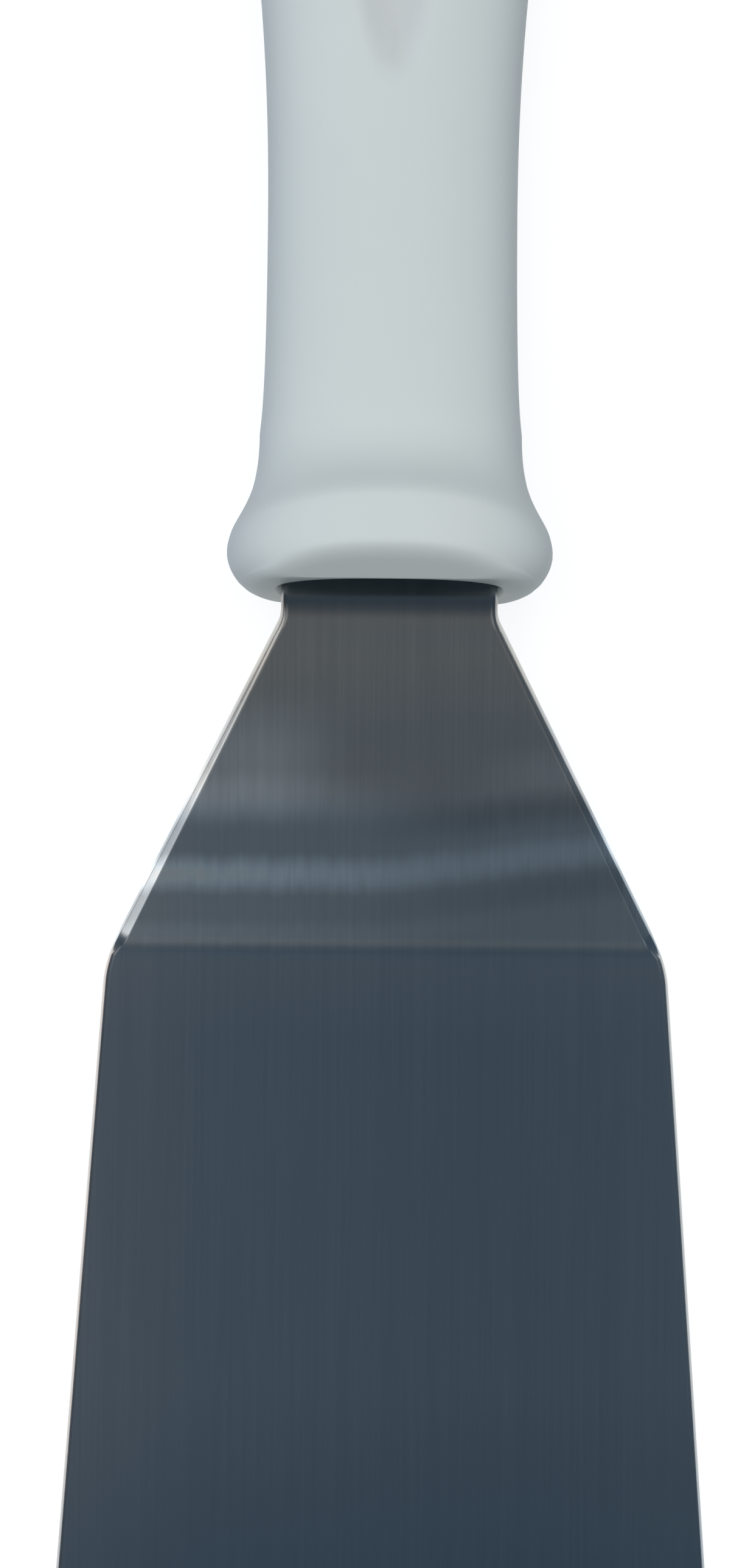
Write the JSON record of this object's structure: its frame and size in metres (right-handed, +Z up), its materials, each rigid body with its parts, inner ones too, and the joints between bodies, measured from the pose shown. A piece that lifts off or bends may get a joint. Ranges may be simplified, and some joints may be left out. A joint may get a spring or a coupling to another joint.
{
  "type": "offset cake spatula",
  "caption": "Offset cake spatula: a flared flat steel blade and sloped neck bent from one sheet, with its tang in a waisted, collared white plastic handle.",
  "frame": {"origin": "middle of the blade's flat underside, on the surface that the blade lies on", "axes": "+Z up, square to the blade; +Y along the tool, from the blade's tip to the handle's butt; +X across it"},
  "size_m": [0.079, 0.2931, 0.0432],
  "materials": {
    "steel": "stainless steel brushed lengthwise, edges rounded and polished",
    "white_plastic": "satin moulded polypropylene, fine spark texture"
  },
  "bodies": {
    "root": {"blade": "steel", "handle": "white_plastic"}
  },
  "joints": []
}
